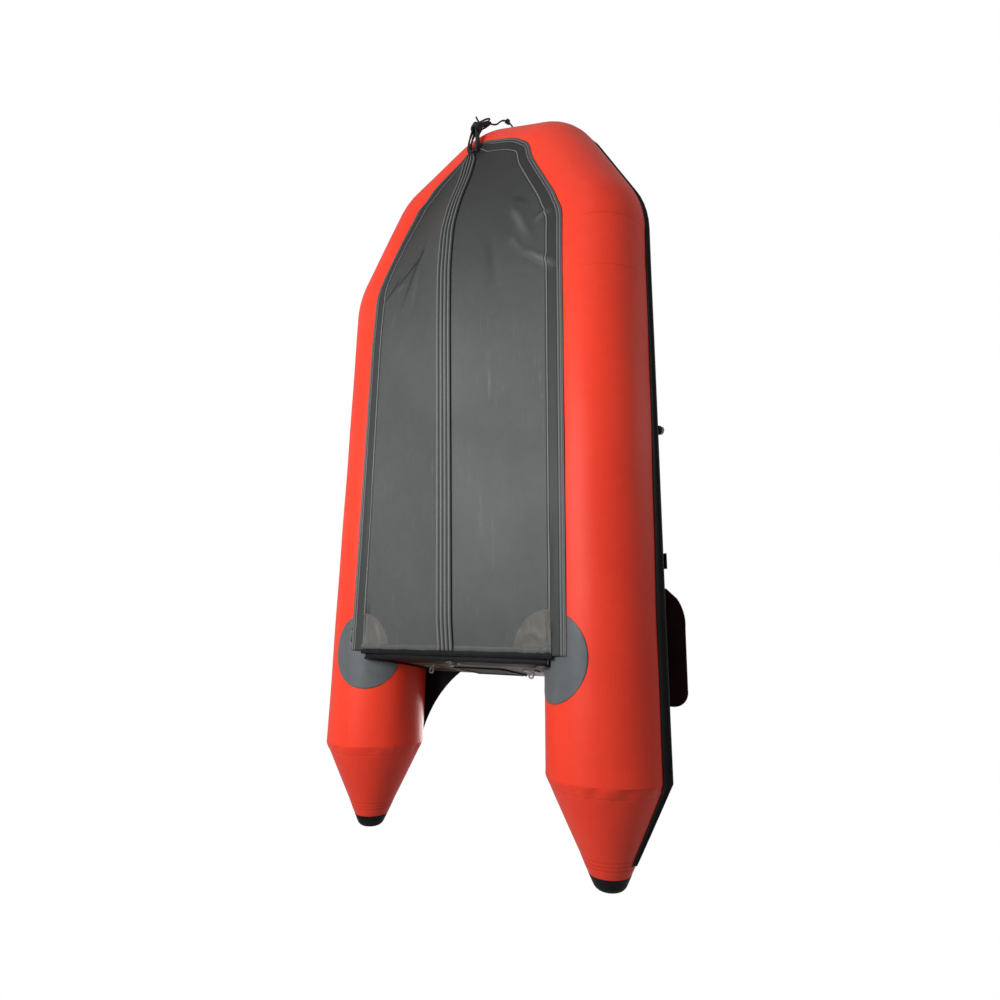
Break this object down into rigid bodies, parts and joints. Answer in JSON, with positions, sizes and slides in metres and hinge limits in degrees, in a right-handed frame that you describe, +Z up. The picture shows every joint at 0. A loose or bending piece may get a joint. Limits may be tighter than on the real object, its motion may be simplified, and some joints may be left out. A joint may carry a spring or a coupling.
{
  "type": "inflatable dinghy",
  "caption": "Inflatable dinghy with mitred tube bow, air-keel V floor, plywood boards and transom, sliding seats and two oars stowed on the tubes.",
  "frame": {"origin": "under the middle of the hull, at the lowest point of the keel strake", "axes": "+X to port, +Y aft towards the transom and tail cones, +Z up; the bow points to -Y"},
  "size_m": [1.5838, 3.3715, 0.6382],
  "materials": {
    "tube_red": "satin",
    "floor_grey": "satin",
    "strake_grey": "satin",
    "trim_black": "satin",
    "plywood": "satin",
    "deck_plywood": "satin",
    "alloy": "satin",
    "oar_alloy": "satin",
    "black_plastic": "satin",
    "valve_grey": "satin",
    "steel": "satin",
    "rope_black": "matte"
  },
  "bodies": {
    "hull": {"air_baffles": "tube_red", "bow_floorboard": "deck_plywood", "bow_handle": "trim_black", "bow_valve_body": "valve_grey", "corner_patches": "strake_grey", "drain_body": "steel", "floor_fabric": "floor_grey", "floor_joints": "alloy", "front_floorboard": "deck_plywood", "inner_motor_pad": "black_plastic", "keel_strake": "strake_grey", "keel_tube": "floor_grey", "middle_floorboard": "deck_plywood", "oar_clips": "black_plastic", "oarlock_bases": "trim_black", "outer_motor_pad": "black_plastic", "painter_hank": "rope_black", "painter_rope": "rope_black", "port_cone_cap": "trim_black", "port_nose_tube": "tube_red", "port_oarlock_pin": "steel", "port_quarter_tube": "tube_red", "port_rubbing_strake": "trim_black", "port_side_tube": "tube_red", "port_stern_handle": "trim_black", "port_tail_cone": "tube_red", "port_valve_body": "valve_grey", "rear_floorboard": "deck_plywood", "seat_rails": "valve_grey", "side_stringers": "alloy", "starboard_cone_cap": "trim_black", "starboard_nose_tube": "tube_red", "starboard_oarlock_pin": "steel", "starboard_quarter_tube": "tube_red", "starboard_rubbing_strake": "trim_black", "starboard_side_tube": "tube_red", "starboard_stern_handle": "trim_black", "starboard_tail_cone": "tube_red", "starboard_valve_body": "valve_grey", "towing_eyes": "steel", "transom_board": "plywood", "transom_holders": "trim_black", "transom_webs": "trim_black"},
    "port_oarlock": {"port_oar_collar": "black_plastic"},
    "port_oar": {"port_oar_shaft": "oar_alloy", "port_oar_grip": "black_plastic", "port_oar_blade": "black_plastic"},
    "starboard_oarlock": {"starboard_oar_collar": "black_plastic"},
    "starboard_oar": {"starboard_oar_shaft": "oar_alloy", "starboard_oar_grip": "black_plastic", "starboard_oar_blade": "black_plastic"},
    "front_seat": {"front_seat": "deck_plywood"},
    "rear_seat": {"rear_seat": "deck_plywood"},
    "port_valve_cap": {"port_valve_cap": "valve_grey"},
    "starboard_valve_cap": {"starboard_valve_cap": "valve_grey"},
    "bow_valve_cap": {"bow_valve_cap": "valve_grey"},
    "drain_plug": {"drain_plug": "valve_grey"}
  },
  "joints": [
    {"name": "port_oar_swing", "type": "hinge", "parent": "hull", "child": "port_oarlock", "pos_m": [0.70969, 0.04227, 0.52416], "axis": [-0.5299, 0, -0.848], "range_deg": [0, 105]},
    {"name": "port_oar_feather", "type": "hinge", "parent": "port_oarlock", "child": "port_oar", "pos_m": [0.67747, 0.04227, 0.54429], "axis": [0, 1, 0], "range_deg": [-15, 60]},
    {"name": "starboard_oar_swing", "type": "hinge", "parent": "hull", "child": "starboard_oarlock", "pos_m": [-0.70969, 0.04227, 0.52416], "axis": [-0.5299, 0, 0.848], "range_deg": [0, 105]},
    {"name": "starboard_oar_feather", "type": "hinge", "parent": "starboard_oarlock", "child": "starboard_oar", "pos_m": [-0.67747, 0.04227, 0.54429], "axis": [0, 1, 0], "range_deg": [-60, 15]},
    {"name": "front_seat_slide", "type": "slide", "parent": "hull", "child": "front_seat", "axis": [0, 1, 0], "range_m": [-0.12, 0.12]},
    {"name": "rear_seat_slide", "type": "slide", "parent": "hull", "child": "rear_seat", "axis": [0, 1, 0], "range_m": [-0.12, 0.12]},
    {"name": "port_valve_turn", "type": "hinge", "parent": "hull", "child": "port_valve_cap", "pos_m": [0.47041, 0.72727, 0.48442], "axis": [-0.4695, 0, 0.8829], "range_deg": [0, 90]},
    {"name": "starboard_valve_turn", "type": "hinge", "parent": "hull", "child": "starboard_valve_cap", "pos_m": [-0.47041, 0.72727, 0.48442], "axis": [0.4695, 0, 0.8829], "range_deg": [0, 90]},
    {"name": "bow_valve_turn", "type": "hinge", "parent": "hull", "child": "bow_valve_cap", "pos_m": [0.39398, -0.94202, 0.51351], "axis": [-0.3123, 0.2577, 0.9144], "range_deg": [0, 90]},
    {"name": "drain_plug_pull", "type": "slide", "parent": "hull", "child": "drain_plug", "axis": [0, 0.9877, -0.1564], "range_m": [0, 0.03]}
  ]
}
